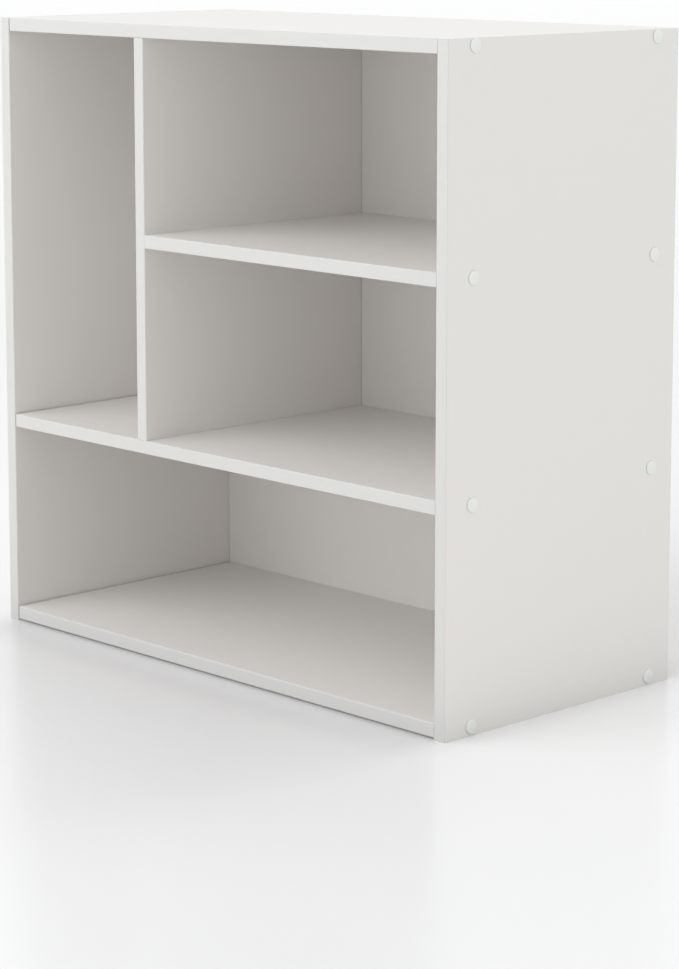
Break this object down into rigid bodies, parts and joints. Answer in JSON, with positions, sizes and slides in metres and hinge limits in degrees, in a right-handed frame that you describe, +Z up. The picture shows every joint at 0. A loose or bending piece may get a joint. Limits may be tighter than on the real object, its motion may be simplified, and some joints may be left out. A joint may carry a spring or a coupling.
{
  "type": "shelving unit",
  "caption": "Low open-front shelving unit in white faced board, with a tall column beside stacked bays, a full-width bottom bay and an inset back.",
  "frame": {"origin": "centre of the unit's footprint, on the floor under the two side panels", "axes": "+Z up, -Y towards the open front, +X towards the unit's right side as seen from the front"},
  "size_m": [0.601, 0.293, 0.5925],
  "materials": {
    "white_facing": "satin white facing and edge strip on chipboard",
    "back_facing": "matt white facing on thin fibreboard",
    "cap_plastic": "moulded white plastic with a soft gloss",
    "zinc_steel": "bright zinc plating on steel",
    "beech_wood": "bare fluted beech"
  },
  "bodies": {
    "root": {"left_side_panel": "white_facing", "right_side_panel": "white_facing", "top_panel": "white_facing", "bottom_panel": "white_facing", "middle_shelf": "white_facing", "divider": "white_facing", "short_shelf": "white_facing", "back_panel": "back_facing", "screw_right_top_front": "zinc_steel", "screw_right_top_rear": "zinc_steel", "screw_right_short_front": "zinc_steel", "screw_right_short_rear": "zinc_steel", "screw_right_middle_front": "zinc_steel", "screw_right_middle_rear": "zinc_steel", "screw_right_bottom_front": "zinc_steel", "screw_right_bottom_rear": "zinc_steel", "screw_left_top_front": "zinc_steel", "screw_left_top_rear": "zinc_steel", "screw_left_middle_front": "zinc_steel", "screw_left_middle_rear": "zinc_steel", "screw_left_bottom_front": "zinc_steel", "screw_left_bottom_rear": "zinc_steel", "screw_divider_short_front": "zinc_steel", "screw_divider_short_rear": "zinc_steel", "screw_divider_foot_front": "zinc_steel", "screw_divider_foot_rear": "zinc_steel", "cap_right_top_front": "cap_plastic", "cap_right_top_rear": "cap_plastic", "cap_right_short_front": "cap_plastic", "cap_right_short_rear": "cap_plastic", "cap_right_middle_front": "cap_plastic", "cap_right_middle_rear": "cap_plastic", "cap_right_bottom_front": "cap_plastic", "cap_right_bottom_rear": "cap_plastic", "cap_left_top_front": "cap_plastic", "cap_left_top_rear": "cap_plastic", "cap_left_middle_front": "cap_plastic", "cap_left_middle_rear": "cap_plastic", "cap_left_bottom_front": "cap_plastic", "cap_left_bottom_rear": "cap_plastic", "cap_divider_short_front": "cap_plastic", "cap_divider_short_rear": "cap_plastic", "cap_divider_foot_front": "cap_plastic", "cap_divider_foot_rear": "cap_plastic", "dowel_right_top_centre": "beech_wood", "dowel_right_short_centre": "beech_wood", "dowel_right_middle_centre": "beech_wood", "dowel_right_bottom_centre": "beech_wood", "dowel_left_top_centre": "beech_wood", "dowel_left_middle_centre": "beech_wood", "dowel_left_bottom_centre": "beech_wood", "dowel_divider_short_centre": "beech_wood", "dowel_divider_foot_centre": "beech_wood", "dowel_divider_head_front": "beech_wood", "dowel_divider_head_rear": "beech_wood"}
  },
  "joints": []
}
